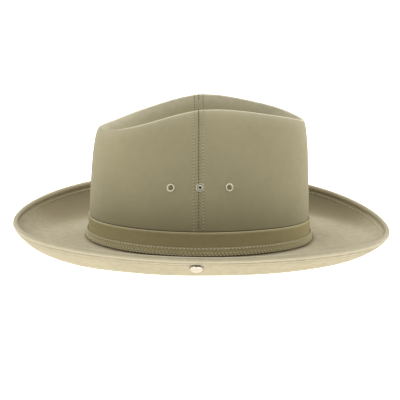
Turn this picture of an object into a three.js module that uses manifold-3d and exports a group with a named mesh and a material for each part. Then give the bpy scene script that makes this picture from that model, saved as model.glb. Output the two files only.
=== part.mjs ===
// A camargue hat in soft cotton cloth, resting on a flat surface.
// Millimetres. +X is the front, +Z is up, the left and right sides are alike.
// The origin is under the middle of the hat, on the surface that it rests on.

import * as THREE from 'three';
import { mergeVertices } from 'three/addons/utils/BufferGeometryUtils.js';
import Module from 'manifold-3d';

// Head size: half length and half width of the crown's foot, outside the cloth
const FOOT_LENGTH = 102.5;
const FOOT_WIDTH = 83.8;

// Reach of the brim from the middle of the crown
const BRIM_FRONT = 178.0;
const BRIM_BACK = 173.6;
const BRIM_SIDE = 152.0;

// Cloth thicknesses, and the gap between pieces that touch
const CROWN_CLOTH = 1.6;
const BAND_CLOTH = 1.0;
const BRIM_CLOTH = 2.6;
const GAP = 0.3;

// Heights of the band and of the stitched strip over its foot
const BAND_HEIGHT = 20.6;
const STRIP_HEIGHT = 7.7;

// Rolled bead on the brim's edge
const BEAD_RADIUS = 2.0;
const BEAD_SIDES = 8;

// The crown sits a little behind the middle of the brim
const CROWN_X = -(BRIM_FRONT - BRIM_BACK) / 2;
// Seam between the front and back panels of the crown
const SEAM_X = CROWN_X - 0.4;
// The ridge loop round the dent: its middle and its half length
const RIDGE_X = CROWN_X + 2.2;
const RIDGE_LENGTH = 93.9;

// The dent: half length of its deepest line, the heights of that line's ends,
// how steeply its slopes start, where 1 is a straight slope, and how much thicker
// the cloth is where the slopes meet
const DENT_LENGTH = 50;
const DENT_FRONT = 99;
const DENT_BACK = 97;
const DENT_STEEP = 1.8;
const DENT_THICKER = 1.15;

// Brim margin that the crown, the band and the strip stand on
const MARGIN_INNER = 2.0;
const MARGIN_OUTER = 0.6;

// Brim sections from the front to the back.
// foot: height of the upper face under the crown
// low: lowest height of the upper face; where the cloth is thicker than this, it is
// pressed flat on the surface; lowAt: where that is, as a share of the brim's width
// edge: height of the bead's top; curl: angle that the outer part rolls through
const BRIM_SECTIONS = [
  { foot: 2.7, low: 2.0, lowAt: 0.70, edge: 13.3, curl: 50 },
  { foot: 7.0, low: 2.5, lowAt: 0.48, edge: 22.5, curl: 65 },
  { foot: 9.6, low: 4.1, lowAt: 0.29, edge: 28.4, curl: 53 },
  { foot: 8.9, low: 2.5, lowAt: 0.37, edge: 27.5, curl: 71 },
  { foot: 6.2, low: 2.0, lowAt: 0.52, edge: 22.7, curl: 60 },
];

// Crown sections from the front to the back.
// width: half width that the ridge loop would have at its middle, going by this section
// ridge: height of the ridge
// lean: share of the wall's inward run that is a straight slope; the rest is a quarter ellipse
const CROWN_SECTIONS = [
  { width: 31.0, ridge: 114.6, lean: 0.00 },
  { width: 31.5, ridge: 117.2, lean: 0.04 },
  { width: 33.5, ridge: 123.0, lean: 0.14 },
  { width: 34.4, ridge: 128.8, lean: 0.28 },
  { width: 40.1, ridge: 131.0, lean: 0.35 },
  { width: 45.1, ridge: 123.1, lean: 0.28 },
  { width: 50.6, ridge: 113.9, lean: 0.18 },
  { width: 45.7, ridge: 109.2, lean: 0.12 },
  { width: 44.0, ridge: 108.4, lean: 0.10 },
];

// Snap stud on the crown's side seam, with a vent eyelet before and behind it
const STUD_X = -1.3;
const STUD_HEIGHT = 69.0;
const EYELET_SPACING = 25.7;
const EYELET_HEIGHT = 68.5;

// Snap in the brim: its place along the hat, and as a share of the brim's width
const SNAP_X = -4.3;
const SNAP_AT = 0.91;

// Hardware radii and thicknesses
const EYELET = { bore: 2.15, barrel: 2.5, flange: 3.3, thick: 0.9, back: 0.4 };
const STUD = { post: 1.5, flange: 3.6, thick: 0.7, rim: 2.1, rimTop: 2.2, hollow: 1.0, back: 0.7 };
const SNAP = { post: 2.0, cap: 5.4, capDepth: 2.4, socket: 4.6, socketTop: 1.7, floor: 0.6 };
// Flat flanges stand off cloth that curves towards them
const INNER_STANDOFF = 0.5;
const SOCKET_STANDOFF = 0.65;
// Holes are wider than what passes through them, and drilled this far both ways
const DRILL_CLEARANCE = 0.3;
const DRILL_REACH = 12;

// Steps round the hat, and rows over the crown and the brim
const STEPS = 56;
const OUTER_WALL_ROWS = 9;
const OUTER_DENT_ROWS = 6;
const INNER_WALL_ROWS = 6;
const INNER_DENT_ROWS = 5;
const FALL_ROWS = 3;
const CURL_ROWS = 7;
const HARDWARE_SIDES = 14;
// How the crown's rows close up towards the ridge, where 1 is even
const ROW_CLOSING = 1.8;

// Corners closer than this are one; steps for slopes and places; halvings of a search
const MERGE = 1e-4;
const SEAT_STEP = 0.01;
const EDGE_STEP = 0.05;
const HALVINGS = 40;

const wasm = await Module();
wasm.setup();

// A value between the sections of a table, smooth all round the hat.
// The sections stand at even turns from 0 at the front to pi at the back, and the value
// is the cosine series that passes through them.
function around(sections, name, turn) {
  const last = sections.length - 1;
  let value = 0;
  for (let wave = 0; wave <= last; wave += 1) {
    let share = 0;
    sections.forEach((section, place) => {
      const half = place === 0 || place === last ? 0.5 : 1;
      share += half * section[name] * Math.cos((wave * place * Math.PI) / last);
    });
    const half = wave === 0 || wave === last ? 0.5 : 1;
    value += half * (2 / last) * share * Math.cos(wave * turn);
  }
  return value;
}

function mix(a, b, share) {
  return a + (b - a) * share;
}

// A coordinate rounded to a thousandth of a millimetre
function rounded(value) {
  return Math.round(value * 1000) / 1000;
}

// A closed skin over rows of points, where each row goes once round the hat.
// With ring set, the last row joins the first; otherwise the end rows close on themselves.
function skin(rows, ring) {
  const count = rows[0].length;
  const positions = rows.flat().flatMap((p) => p.toArray().map(rounded));
  const faces = [];
  const bands = ring ? rows.length : rows.length - 1;
  for (let i = 0; i < bands; i += 1) {
    const next = (i + 1) % rows.length;
    for (let j = 0; j < count; j += 1) {
      const side = (j + 1) % count;
      const a = i * count + j;
      const b = i * count + side;
      const c = next * count + side;
      const d = next * count + j;
      faces.push(a, b, c, a, c, d);
    }
  }
  const raw = new THREE.BufferGeometry();
  raw.setAttribute('position', new THREE.Float32BufferAttribute(positions, 3));
  raw.setIndex(faces);
  return faceOutwards(mergeVertices(raw, MERGE));
}

// Drops faces that have closed up to a line, and turns the skin so that it faces out
function faceOutwards(geometry) {
  const at = geometry.getAttribute('position');
  const index = geometry.getIndex().array;
  const corner = (i) => new THREE.Vector3().fromBufferAttribute(at, i);
  const kept = [];
  let volume = 0;
  for (let i = 0; i < index.length; i += 3) {
    const [a, b, c] = [index[i], index[i + 1], index[i + 2]];
    if (a !== b && b !== c && c !== a) {
      kept.push([a, b, c]);
      volume += corner(a).dot(corner(b).cross(corner(c)));
    }
  }
  geometry.setIndex(kept.flatMap(([a, b, c]) => (volume > 0 ? [a, b, c] : [a, c, b])));
  return geometry;
}

function toSolid(geometry) {
  const bare = geometry.clone();
  bare.deleteAttribute('normal');
  bare.deleteAttribute('uv');
  const merged = faceOutwards(mergeVertices(bare, MERGE));
  return new wasm.Manifold(new wasm.Mesh({
    numProp: 3,
    vertProperties: new Float32Array(merged.getAttribute('position').array),
    triVerts: new Uint32Array(merged.getIndex().array),
  }));
}

function toGeometry(manifold) {
  const mesh = manifold.getMesh();
  const geometry = new THREE.BufferGeometry();
  geometry.setAttribute('position', new THREE.Float32BufferAttribute(mesh.vertProperties, 3));
  geometry.setIndex(new THREE.Uint32BufferAttribute(mesh.triVerts, 1));
  geometry.computeVertexNormals();
  return geometry;
}

// Turns round the hat, one for each step
const turns = Array.from({ length: STEPS }, (_, step) => (step * 2 * Math.PI) / STEPS);

function ellipse(length, width, turn) {
  return new THREE.Vector2(CROWN_X + length * Math.cos(turn), width * Math.sin(turn));
}

function footHeight(turn) {
  return around(BRIM_SECTIONS, 'foot', turn);
}

// Crown wall, or its inner side where inset is the cloth's thickness.
// It rises from the foot ellipse to the ridge loop, leaning in as its section says.
function crownWall(turn, rise, inset) {
  const foot = ellipse(FOOT_LENGTH - inset, FOOT_WIDTH - inset, turn);
  const ridge = ridgePoint(turn, inset);
  const lean = around(CROWN_SECTIONS, 'lean', turn);
  const run = lean * rise + (1 - lean) * (1 - Math.sqrt(Math.max(0, 1 - rise * rise)));
  return new THREE.Vector3(
    mix(foot.x, ridge.x, run),
    mix(foot.y, ridge.y, run),
    mix(footHeight(turn) + GAP, ridge.z, rise),
  );
}

// The deepest line of the dent, at the end that this turn leads to
function dentPoint(turn, inset) {
  const lengthwise = DENT_LENGTH * Math.cos(turn);
  const height = mix(DENT_BACK, DENT_FRONT, (1 + Math.cos(turn)) / 2);
  return new THREE.Vector3(RIDGE_X + lengthwise, 0, height - inset * DENT_THICKER);
}

// The ridge loop. Its inner side lies lower, where the inner sides of wall and dent meet.
function ridgePoint(turn, inset) {
  const width = around(CROWN_SECTIONS, 'width', turn);
  const x = RIDGE_X + (RIDGE_LENGTH - inset) * Math.cos(turn);
  const y = (width - inset) * Math.sin(turn);
  const top = around(CROWN_SECTIONS, 'ridge', turn);
  const deepest = dentPoint(turn, 0);
  const across = Math.hypot(x - deepest.x, y);
  const slope = (DENT_STEEP * (top - deepest.z)) / across;
  return new THREE.Vector3(x, y, top - inset * (slope + Math.hypot(1, slope)));
}

// Inside of the dent, from the ridge at 0 to its deepest line at 1
function crownDent(turn, share, inset) {
  const ridge = ridgePoint(turn, inset);
  const deepest = dentPoint(turn, inset);
  const drop = 1 - (1 - share) ** DENT_STEEP;
  return new THREE.Vector3(
    mix(ridge.x, deepest.x, share),
    mix(ridge.y, deepest.y, share),
    mix(ridge.z, deepest.z, drop),
  );
}

// Rows of one side of the crown's cloth, from its foot over the ridge into the dent
function crownSide(wallRows, dentRows, inset) {
  const rows = [];
  for (let row = 0; row < wallRows; row += 1) {
    const rise = 1 - (1 - row / wallRows) ** ROW_CLOSING;
    rows.push(turns.map((turn) => crownWall(turn, rise, inset)));
  }
  for (let row = 0; row <= dentRows; row += 1) {
    rows.push(turns.map((turn) => crownDent(turn, row / dentRows, inset)));
  }
  return rows;
}

function crownShell() {
  const outer = crownSide(OUTER_WALL_ROWS, OUTER_DENT_ROWS, 0);
  const inner = crownSide(INNER_WALL_ROWS, INNER_DENT_ROWS, CROWN_CLOTH);
  return skin([...inner.reverse(), ...outer], false);
}

// A cloth ring round the foot of the crown, standing off it by the given distance
function clothRing(height, standOff, cloth) {
  const levels = [0, 0.5, 1];
  const ringRow = (level, off) => turns.map((turn) => {
    const foot = footHeight(turn) + GAP;
    const ridge = ridgePoint(turn, 0).z;
    const point = crownWall(turn, (height * level) / (ridge - foot), 0);
    const outward = new THREE.Vector2(FOOT_WIDTH * Math.cos(turn), FOOT_LENGTH * Math.sin(turn));
    outward.setLength(off);
    return new THREE.Vector3(point.x + outward.x, point.y + outward.y, point.z);
  });
  const inner = levels.map((level) => ringRow(level, standOff));
  const outer = levels.map((level) => ringRow(level, standOff + cloth)).reverse();
  return skin([...inner, ...outer], true);
}

const BAND_OFF = GAP;
const STRIP_OFF = BAND_OFF + BAND_CLOTH + GAP;
const MARGIN = STRIP_OFF + BAND_CLOTH + MARGIN_OUTER;

// The brim's section at one turn: a plan line from the crown's margin to the edge.
// The bead's middle lies in the middle of the cloth, so the upper face ends just above it.
function brimLine(turn) {
  const start = ellipse(FOOT_LENGTH + MARGIN, FOOT_WIDTH + MARGIN, turn);
  const reach = Math.cos(turn) > 0 ? BRIM_FRONT : BRIM_BACK;
  const end = ellipse(reach, BRIM_SIDE, turn);
  const outward = end.clone().sub(start);
  const curl = THREE.MathUtils.degToRad(around(BRIM_SECTIONS, 'curl', turn));
  const sunk = BRIM_CLOTH / 2;
  const width = outward.length() - BEAD_RADIUS - sunk * Math.sin(curl);
  const lowest = around(BRIM_SECTIONS, 'low', turn);
  const rise = around(BRIM_SECTIONS, 'edge', turn) - BEAD_RADIUS + sunk * Math.cos(curl) - lowest;
  return { start, outward: outward.normalize(), width, lowest, rise, curl };
}

// Upper face of the brim in its section, as distance and height, with its slope.
// From 0 to 1 it falls to its lowest ring along a parabola, and from 1 to 2 it rolls up
// along a quarter-ellipse arc to the bead's middle.
function brimSection(turn, step) {
  const { width, lowest, rise, curl } = brimLine(turn);
  const foot = footHeight(turn);
  const low = width * around(BRIM_SECTIONS, 'lowAt', turn);
  const rest = width - low;
  if (step < 1) {
    const left = 1 - step;
    return { out: step * low, up: lowest + (foot - lowest) * left * left,
      slope: (-2 * (foot - lowest) * left) / low };
  }
  const angle = (step - 1) * curl;
  const reachUnit = rest / Math.sin(curl);
  const riseUnit = rise / (1 - Math.cos(curl));
  return { out: low + reachUnit * Math.sin(angle), up: lowest + riseUnit * (1 - Math.cos(angle)),
    slope: (riseUnit * Math.tan(angle)) / reachUnit };
}

// A point of the brim, sunk below its upper face by the given depth
function brimPoint(turn, step, depth) {
  const { start, outward } = brimLine(turn);
  const { out, up, slope } = brimSection(turn, step);
  const upright = 1 / Math.hypot(1, slope);
  const along = out + depth * slope * upright;
  const height = Math.max(0, up - depth * upright);
  return new THREE.Vector3(start.x + outward.x * along, start.y + outward.y * along, height);
}

// The last step of the brim before the bead, leaving the gap between them
function lastStep(turn) {
  const end = brimSection(turn, 2);
  const before = brimSection(turn, 2 - EDGE_STEP);
  const length = Math.hypot(end.out - before.out, end.up - before.up);
  return 2 - (EDGE_STEP * (BEAD_RADIUS + GAP)) / length;
}

function brimSkin() {
  const inward = FOOT_LENGTH - CROWN_CLOTH - MARGIN_INNER;
  const inwardSide = FOOT_WIDTH - CROWN_CLOTH - MARGIN_INNER;
  const innerRow = (depth) => turns.map((turn) => {
    const plan = ellipse(inward, inwardSide, turn);
    return new THREE.Vector3(plan.x, plan.y, Math.max(0, footHeight(turn) - depth));
  });
  const brimRow = (share, depth) => turns.map((turn) => {
    const step = share <= 1 ? share : mix(1, lastStep(turn), share - 1);
    return brimPoint(turn, step, depth);
  });
  const shares = [];
  for (let row = 0; row < FALL_ROWS; row += 1) {
    shares.push(row / FALL_ROWS);
  }
  for (let row = 0; row <= CURL_ROWS; row += 1) {
    shares.push(1 + row / CURL_ROWS);
  }
  const upper = shares.map((share) => brimRow(share, 0));
  const under = shares.map((share) => brimRow(share, BRIM_CLOTH)).reverse();
  return skin([innerRow(0), ...upper, ...under, innerRow(BRIM_CLOTH)], true);
}

function beadSkin() {
  const rows = [];
  for (let side = 0; side < BEAD_SIDES; side += 1) {
    const angle = ((side + 0.5) * 2 * Math.PI) / BEAD_SIDES;
    rows.push(turns.map((turn) => {
      const middle = brimPoint(turn, 2, BRIM_CLOTH / 2);
      const across = brimLine(turn).outward.multiplyScalar(BEAD_RADIUS * Math.cos(angle));
      const height = BEAD_RADIUS * Math.sin(angle);
      return middle.add(new THREE.Vector3(across.x, across.y, height));
    }));
  }
  return skin(rows, true);
}

// The turn whose point lies at the given place along the hat, on the side where y is positive
function turnAt(x, pointAt) {
  let low = 0;
  let high = Math.PI;
  for (let i = 0; i < HALVINGS; i += 1) {
    const middle = (low + high) / 2;
    if (pointAt(middle).x > x) {
      low = middle;
    } else {
      high = middle;
    }
  }
  return (low + high) / 2;
}

// Where hardware sits on a surface: its point and its outward direction.
// point(turn, along) is the surface; side is 1 for the left and -1 for the right.
function seat(point, turn, along, side) {
  const place = point(turn, along);
  const round = point(turn + SEAT_STEP, along).sub(point(turn - SEAT_STEP, along));
  const up = point(turn, along + SEAT_STEP).sub(point(turn, along - SEAT_STEP));
  const outward = round.cross(up).normalize();
  return {
    place: new THREE.Vector3(place.x, place.y * side, place.z),
    outward: new THREE.Vector3(outward.x, outward.y * side, outward.z),
  };
}

// Hardware in the crown's wall, with the cloth's thickness there, measured square to the wall
function wallSeat(x, height, side) {
  const wallPoint = (turn, inset) => {
    const foot = footHeight(turn) + GAP;
    const rise = (height - foot) / (ridgePoint(turn, inset).z - foot);
    return { rise, point: crownWall(turn, rise, inset) };
  };
  const turn = turnAt(x, (t) => wallPoint(t, 0).point);
  const outer = wallPoint(turn, 0);
  const inner = wallPoint(turn, CROWN_CLOTH);
  const left = seat((t, rise) => crownWall(t, rise, 0), turn, outer.rise, 1);
  const cloth = outer.point.clone().sub(inner.point).dot(left.outward);
  return { ...seat((t, rise) => crownWall(t, rise, 0), turn, outer.rise, side), cloth };
}

// The brim's snap sits square to its upper face, with up as its outward direction
function brimSeat(x, share, side) {
  const stepAt = (turn) => {
    const { width } = brimLine(turn);
    let low = 1;
    let high = 2;
    for (let i = 0; i < HALVINGS; i += 1) {
      const middle = (low + high) / 2;
      if (brimSection(turn, middle).out < share * width) {
        low = middle;
      } else {
        high = middle;
      }
    }
    return low;
  };
  const turn = turnAt(x, (t) => brimPoint(t, stepAt(t), 0));
  const found = seat((t, step) => brimPoint(t, step, 0), turn, stepAt(turn), side);
  if (found.outward.z < 0) {
    found.outward.negate();
  }
  return found;
}

const LATHE_AXIS = new THREE.Vector3(0, 1, 0);

function drill(place, radius) {
  const geometry = new THREE.CylinderGeometry(radius, radius, 2 * DRILL_REACH, HARDWARE_SIDES);
  geometry.applyQuaternion(new THREE.Quaternion().setFromUnitVectors(LATHE_AXIS, place.outward));
  geometry.translate(place.place.x, place.place.y, place.place.z);
  return toSolid(geometry);
}

function lathe(profile) {
  const points = profile.map(([radius, height]) => new THREE.Vector2(radius, height));
  const geometry = new THREE.LatheGeometry(points, HARDWARE_SIDES);
  geometry.deleteAttribute('normal');
  geometry.deleteAttribute('uv');
  const merged = faceOutwards(mergeVertices(geometry, MERGE));
  merged.computeVertexNormals();
  return merged;
}

// Hardware profiles are radius and height, with 0 at the cloth's outer face

// A ring through the cloth, with a rounded flange outside and a flat one inside
function eyeletGeometry(cloth) {
  const inside = -(cloth + INNER_STANDOFF);
  const { bore, barrel, flange, thick, back } = EYELET;
  const middle = (bore + flange) / 2;
  return lathe([
    [bore, inside - back],
    [flange, inside - back],
    [flange, inside],
    [barrel, inside],
    [barrel, GAP],
    [flange, GAP],
    [mix(middle, flange, 0.6), GAP + thick * 0.8],
    [middle, GAP + thick],
    [bore, GAP + thick * 0.6],
    [bore, inside - back],
  ]);
}

// A flange with a raised, hollow rim outside, held by a disc inside
function studGeometry(cloth) {
  const inside = -(cloth + INNER_STANDOFF);
  const { post, flange, thick, rim, rimTop, hollow, back } = STUD;
  return lathe([
    [0, inside - back],
    [flange, inside - back],
    [flange, inside],
    [post, inside],
    [post, GAP],
    [flange, GAP],
    [flange, GAP + thick / 2],
    [rim, GAP + thick],
    [rim, GAP + rimTop],
    [hollow, GAP + rimTop],
    [hollow, GAP + thick],
    [0, GAP + thick],
  ]);
}

// A domed cap under the brim, a post through it and a round socket on top
function snapGeometry() {
  const under = -(BRIM_CLOTH + GAP);
  const { post, cap, capDepth, socket, socketTop, floor } = SNAP;
  return lathe([
    [0, under - capDepth],
    [cap * 0.5, under - capDepth * 0.92],
    [cap * 0.85, under - capDepth * 0.6],
    [cap, under],
    [post, under],
    [post, SOCKET_STANDOFF],
    [socket, SOCKET_STANDOFF],
    [socket, SOCKET_STANDOFF + socketTop * 0.8],
    [socket * 0.7, SOCKET_STANDOFF + socketTop],
    [socket * 0.5, SOCKET_STANDOFF + floor],
    [0, SOCKET_STANDOFF + floor],
  ]);
}

const CLOTH = { color: 0x9a9370, roughness: 0.95, metalness: 0 };
const BAND_TONE = { color: 0x7b7150, roughness: 0.95, metalness: 0 };
const BEAD_TONE = { color: 0xc4b694, roughness: 0.95, metalness: 0 };
const EYELET_METAL = { color: 0xd8d2bd, roughness: 0.35, metalness: 1 };
const SNAP_METAL = { color: 0xb9b6ab, roughness: 0.3, metalness: 1 };

const hat = new THREE.Group();

function add(name, geometry, finish, place) {
  const mesh = new THREE.Mesh(geometry, new THREE.MeshStandardMaterial(finish));
  mesh.name = name;
  if (place) {
    mesh.position.copy(place.place);
    mesh.quaternion.setFromUnitVectors(LATHE_AXIS, place.outward);
  }
  hat.add(mesh);
}

const SIDES = [['left', 1], ['right', -1]];
const EYELETS = [['front', EYELET_SPACING], ['back', -EYELET_SPACING]];

// The crown, drilled for its eyelets and studs
let crown = toSolid(crownShell());
let brim = toSolid(brimSkin());
SIDES.forEach(([sideName, side]) => {
  EYELETS.forEach(([endName, offset]) => {
    const eyelet = wallSeat(STUD_X + offset, EYELET_HEIGHT, side);
    crown = crown.subtract(drill(eyelet, EYELET.barrel + DRILL_CLEARANCE));
    add(`eyelet_${sideName}_${endName}`, eyeletGeometry(eyelet.cloth), EYELET_METAL, eyelet);
  });
  const stud = wallSeat(STUD_X, STUD_HEIGHT, side);
  crown = crown.subtract(drill(stud, STUD.post + DRILL_CLEARANCE));
  add(`crown_stud_${sideName}`, studGeometry(stud.cloth), SNAP_METAL, stud);
  const snap = brimSeat(SNAP_X, SNAP_AT, side);
  brim = brim.subtract(drill(snap, SNAP.post + DRILL_CLEARANCE));
  add(`brim_snap_${sideName}`, snapGeometry(), SNAP_METAL, snap);
});

// The crown's two panels meet at the side seams with a small gap.
// Each is what lies within a box, larger than the crown, on its side of the seam.
function panel(direction) {
  const size = 2 * BRIM_FRONT;
  const box = new THREE.BoxGeometry(size, size, size);
  box.translate(SEAM_X + (direction * (size + GAP)) / 2, 0, 0);
  return toGeometry(crown.intersect(toSolid(box)));
}

add('crown_front', panel(1), CLOTH);
add('crown_back', panel(-1), CLOTH);
add('hat_band', clothRing(BAND_HEIGHT, BAND_OFF, BAND_CLOTH), BAND_TONE);
add('band_strip', clothRing(STRIP_HEIGHT, STRIP_OFF, BAND_CLOTH), BAND_TONE);
add('brim', toGeometry(brim), CLOTH);
add('brim_edge', beadSkin(), BEAD_TONE);

export default hat;
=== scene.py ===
import math

import bpy
import numpy as np
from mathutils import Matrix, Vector


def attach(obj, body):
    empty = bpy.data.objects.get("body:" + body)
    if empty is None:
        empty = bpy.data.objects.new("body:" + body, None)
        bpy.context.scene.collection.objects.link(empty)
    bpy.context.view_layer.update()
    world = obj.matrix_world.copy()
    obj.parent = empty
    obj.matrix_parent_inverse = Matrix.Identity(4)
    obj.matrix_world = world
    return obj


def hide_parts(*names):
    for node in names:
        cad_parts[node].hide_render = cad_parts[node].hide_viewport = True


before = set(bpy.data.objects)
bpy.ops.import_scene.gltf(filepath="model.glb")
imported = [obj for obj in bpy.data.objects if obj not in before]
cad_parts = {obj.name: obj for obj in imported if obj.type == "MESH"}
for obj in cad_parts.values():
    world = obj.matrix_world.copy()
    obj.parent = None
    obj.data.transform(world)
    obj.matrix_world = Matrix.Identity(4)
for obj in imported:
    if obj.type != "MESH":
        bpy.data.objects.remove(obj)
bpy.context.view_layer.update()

# A camargue hat in smooth brushed cotton. Shapes are worked out in millimetres, in the
# frame of the solids: +X is the front, +Z is up, and the hat rests on the level z = 0.
MM = 0.001

# Half length and half width of the crown's foot, outside the cloth, then the brim's reach
FOOT_LENGTH, FOOT_WIDTH = 102.5, 83.8
BRIM_FRONT, BRIM_BACK, BRIM_SIDE = 178.0, 173.6, 152.0
CROWN_CLOTH, BAND_CLOTH, BRIM_CLOTH = 1.6, 1.0, 2.6
GAP = 0.3
BAND_HEIGHT, STRIP_HEIGHT = 20.6, 7.7
BEAD_RADIUS = 2.0
CROWN_X = -(BRIM_FRONT - BRIM_BACK) / 2
SEAM_X = CROWN_X - 0.4
RIDGE_X = CROWN_X + 2.2
RIDGE_LENGTH = 93.9
DENT_LENGTH, DENT_FRONT, DENT_BACK, DENT_STEEP = 50.0, 99.0, 97.0, 1.8
DENT_INNER_DROP = 1.15
MARGIN_INNER, MARGIN_OUTER = 2.0, 0.6
BAND_OFF = GAP
STRIP_OFF = BAND_OFF + BAND_CLOTH + GAP
MARGIN = STRIP_OFF + BAND_CLOTH + MARGIN_OUTER

# Sections from the front to the back, as in the solids: five for the brim, nine for the crown
BRIM = {
    "foot": (2.7, 7.0, 9.6, 8.9, 6.2),
    "low": (2.0, 2.5, 4.1, 2.5, 2.0),
    "low_at": (0.70, 0.48, 0.29, 0.37, 0.52),
    "edge": (13.3, 22.5, 28.4, 27.5, 22.7),
    "curl": (50, 65, 53, 71, 60),
}
CROWN = {
    "width": (31.0, 31.5, 33.5, 34.4, 40.1, 45.1, 50.6, 45.7, 44.0),
    "ridge": (114.6, 117.2, 123.0, 128.8, 131.0, 123.1, 113.9, 109.2, 108.4),
    "lean": (0.00, 0.04, 0.14, 0.28, 0.35, 0.28, 0.18, 0.12, 0.10),
}

# Hardware: where the studs, eyelets and brim snaps sit
STUD_X, STUD_HEIGHT = -1.3, 69.0
EYELET_SPACING, EYELET_HEIGHT = 25.7, 68.5
SNAP_X, SNAP_AT = -4.3, 0.91
EYELET_HOLE = 2.7

# Seam, stitches, and the strip's end that laps over its start
SEAM_STITCH = 4.0
STITCH_PITCH, STRIP_PITCH, HEM_PITCH = 2.8, 3.3, 2.9
HEM_WIDTH = 3.3
STRIP_ROWS = (6.6, 2.9, 1.1)
STRIP_END_X = -45.5
LAP_HEIGHT, LAP_EDGE, LAP_LENGTH = 0.55, 0.12, 30

# Low relief of the cloth: heights and widths of the raised seam, the ditch in it, the dips
# under stitches, the slow waves, and the groove and the flare beside the bead
SEAM_RAISED, SEAM_ALLOWANCE, SEAM_EDGE = 0.22, 5.6, 0.45
DITCH_DEPTH, DITCH_WIDTH = 0.08, 0.45
SEAM_DIP, SEAM_DIP_WIDTH = 0.08, 0.5
HEM_DIP, HEM_DIP_WIDTH = 0.14, 0.45
CROWN_WAVES, BRIM_WAVES = 0.25, 0.3
DENT_RELIEF = 0.3
GROOVE_ABOVE, GROOVE_UNDER, GROOVE_WIDTH = 1.35, 0.7, 0.45
FLARE_UNDER, FLARE_WIDTH = 0.6, 2.2

# The photograph's camera, fitted to the hat's outline
CAMERA_DISTANCE, CAMERA_DOWN = 1200.0, 14.83
CAMERA_AIM = (-1.4, 0.0, 38.5)
FOCAL_PIXELS, FRAME_PIXELS, SENSOR = 1284.0, 400.0, 36.0


# Shape functions

def around(column, turn):
    """A table's column at any turn: the cosine series in the turn that passes through its
    sections, which stand evenly from the front at 0 to the back at pi."""
    last = len(column) - 1
    wave = np.arange(last + 1)
    half = np.where((wave == 0) | (wave == last), 0.5, 1.0)
    basis = np.cos(np.outer(wave, wave) * math.pi / last)
    series = half * (2 / last) * (basis @ (half * np.asarray(column, float)))
    return np.cos(np.asarray(turn)[..., None] * wave) @ series


def mix(a, b, share):
    """The value that lies a share of the way from a to b."""
    return a + (b - a) * share


def bell(off, width):
    """Falls from 1 at no distance by a bell curve of that width."""
    return np.exp(-(off / width) ** 2)


def unit(vectors):
    """Vectors made one long."""
    return vectors / np.linalg.norm(vectors, axis=-1, keepdims=True)


def run_down(points):
    """Distance run from the first row of a grid or a path, down each column."""
    return np.linalg.norm(np.diff(points, axis=0, prepend=points[:1]), axis=-1).cumsum(axis=0)


def ring_turns(count):
    """Turns spaced evenly once round."""
    return np.arange(count) * 2 * math.pi / count


def foot_height(turn):
    """Height of the brim's upper face under the crown's foot, from its table."""
    return around(BRIM["foot"], turn)


def dent_line(turn, inset):
    """The dent's deepest line: a straight line along the hat, reached at the cosine of the
    turn. The inner side lies a little more than the inset below it."""
    along = np.cos(turn)
    height = mix(DENT_BACK, DENT_FRONT, (1 + along) / 2) - inset * DENT_INNER_DROP
    return np.stack([RIDGE_X + DENT_LENGTH * along, 0 * along, height], -1)


def ridge_line(turn, inset):
    """The ridge loop: a long oval whose width comes from the crown's sections. The inner side
    lies lower by the cloth's thickness measured square to the dent's slope."""
    x = RIDGE_X + (RIDGE_LENGTH - inset) * np.cos(turn)
    y = (around(CROWN["width"], turn) - inset) * np.sin(turn)
    top = around(CROWN["ridge"], turn)
    deep = dent_line(turn, 0)
    slope = DENT_STEEP * (top - deep[..., 2]) / np.hypot(x - deep[..., 0], y)
    return np.stack([x, y, top - inset * (slope + np.hypot(1, slope))], -1)


def crown_wall(turn, rise, inset):
    """The wall: from the foot ellipse to the ridge loop, its inward run a blend of a straight
    slope and an upright quarter ellipse."""
    foot = np.stack([CROWN_X + (FOOT_LENGTH - inset) * np.cos(turn),
                     (FOOT_WIDTH - inset) * np.sin(turn), foot_height(turn) + GAP], -1)
    ridge = ridge_line(turn, inset)
    lean = around(CROWN["lean"], turn)
    run = lean * rise + (1 - lean) * (1 - np.sqrt(np.maximum(0, 1 - rise * rise)))
    share = np.stack([run, run, rise + 0 * run], -1)
    return mix(foot, ridge, share)


def crown_dent(turn, share, inset):
    """The dent: straight in plan from the ridge to the deepest line, falling by a power curve."""
    ridge, deep = ridge_line(turn, inset), dent_line(turn, inset)
    share = share + 0 * turn
    return mix(ridge, deep, np.stack([share, share, 1 - (1 - share) ** DENT_STEEP], -1))


# Rows of the crown's grid: they crowd together towards the ridge from both sides, by powers,
# and some more lie over the band's top edge
PLAIN_ROWS, BAND_TOP_ROWS, DENT_ROWS = 100, 20, 46
WALL_CROWDING, DENT_CROWDING = 2.3, 1.4
BAND_TOP_RISE = (0.156, 0.216)
PLAIN_RISE = 1 - (1 - np.arange(PLAIN_ROWS) / PLAIN_ROWS) ** WALL_CROWDING
WALL_RISE = np.sort(np.concatenate([PLAIN_RISE, np.linspace(*BAND_TOP_RISE, BAND_TOP_ROWS)]))
WALL_ROWS = len(WALL_RISE)
CROWN_ROWS = WALL_ROWS + DENT_ROWS + 1
DENT_SHARE = (np.arange(DENT_ROWS + 1) / DENT_ROWS) ** DENT_CROWDING
FOOT_FADE_ROWS, DENT_FADE_ROWS = 8, 6

# The ridge: how often its rows are averaged, its small roll, and where the soft back begins
SOFTEN_PASSES, SOFTEN_BACK = 3, 60
RIDGE_ROLL, RIDGE_ROLL_WIDTH = 0.55, 0.9
BACK_SOFT_FROM, BACK_SOFT_WIDTH = -78.0, 7.0


def soft_back(x):
    """How far the ridge has opened into the soft back of the crown: 0 in front, 1 behind."""
    return 1 / (1 + np.exp((x - BACK_SOFT_FROM) / BACK_SOFT_WIDTH))


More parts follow.
